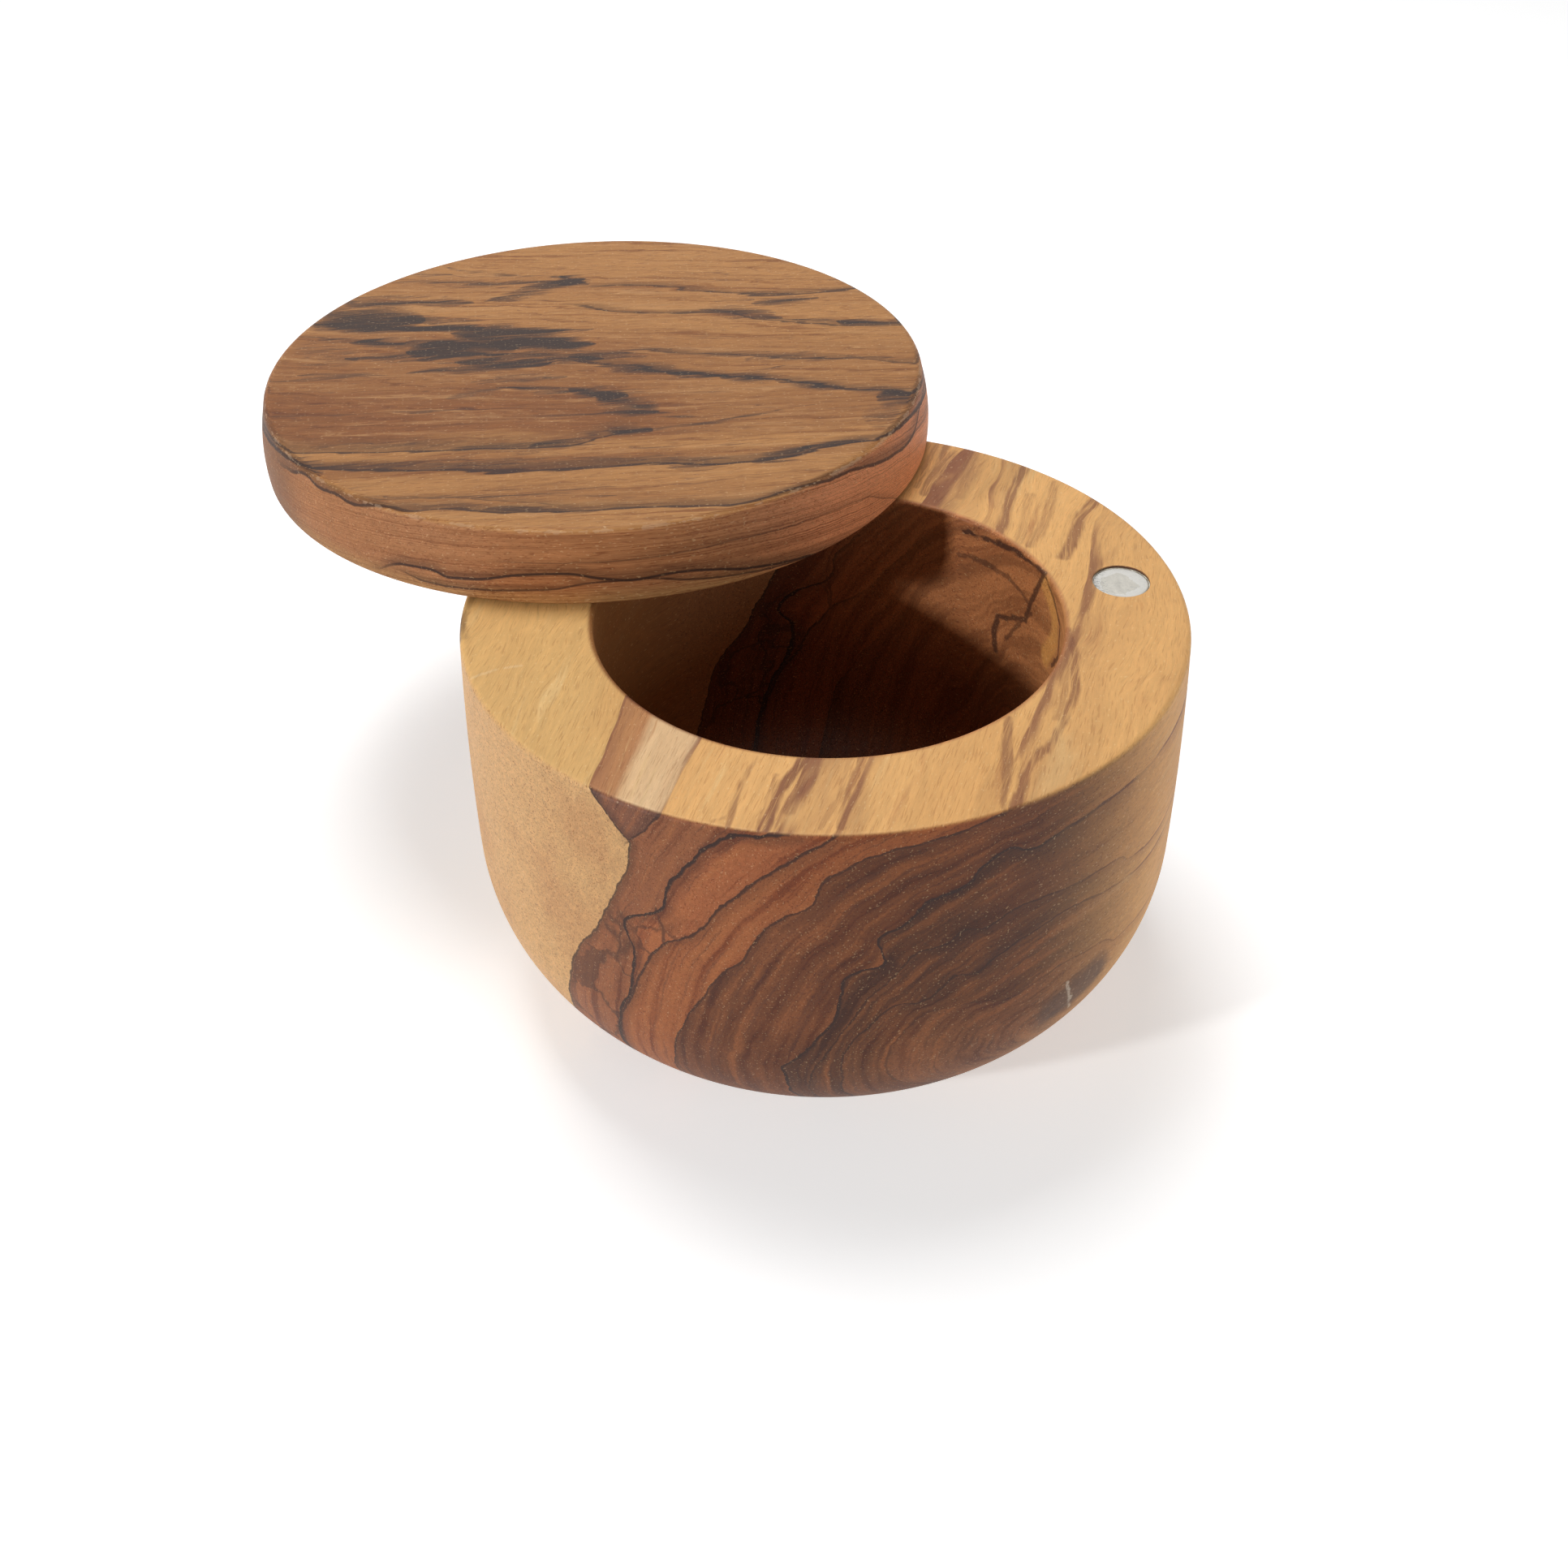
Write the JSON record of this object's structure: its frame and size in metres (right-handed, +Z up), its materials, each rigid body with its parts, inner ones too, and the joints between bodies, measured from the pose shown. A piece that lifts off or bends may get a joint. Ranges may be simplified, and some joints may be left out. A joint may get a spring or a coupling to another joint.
{
  "type": "salt keeper with swivelling lid",
  "caption": "Round turned olive-wood salt keeper: bowl with a wide flat rim and a disc lid that swivels flat on a hidden upright pin, held closed by small magnets.",
  "frame": {"origin": "centre of the flat base, on the surface that the keeper stands on, on the bowl's axis", "axes": "+Z up along the bowl's axis and the lid's swivel axis; +X to the right and +Y away from someone who faces the keeper; the pin is on the left, the rim magnet on the right"},
  "size_m": [0.1455, 0.1607, 0.0739],
  "materials": {
    "bowl_olive_wood": "oiled, satin",
    "lid_olive_wood": "oiled, satin",
    "pin_steel": "ground",
    "bush_brass": "drawn tube",
    "washer_plastic": "moulded",
    "magnet_plating": "dull nickel plating",
    "cured_glue": "clear film, slightly milky"
  },
  "bodies": {
    "bowl": {"bowl": "bowl_olive_wood", "pivot_bush": "bush_brass", "pivot_washer": "washer_plastic", "rim_magnet": "magnet_plating", "rim_magnet_glue": "cured_glue"},
    "lid": {"lid": "lid_olive_wood", "pivot_pin": "pin_steel", "lid_magnet": "magnet_plating", "lid_magnet_glue": "cured_glue"}
  },
  "joints": [
    {"name": "lid_swivel", "type": "hinge", "parent": "bowl", "child": "lid", "pos_m": [-0.04268, 0.00938, 0.062], "axis": [0, 0, 1], "range_deg": [-95.7, 264.3]}
  ]
}
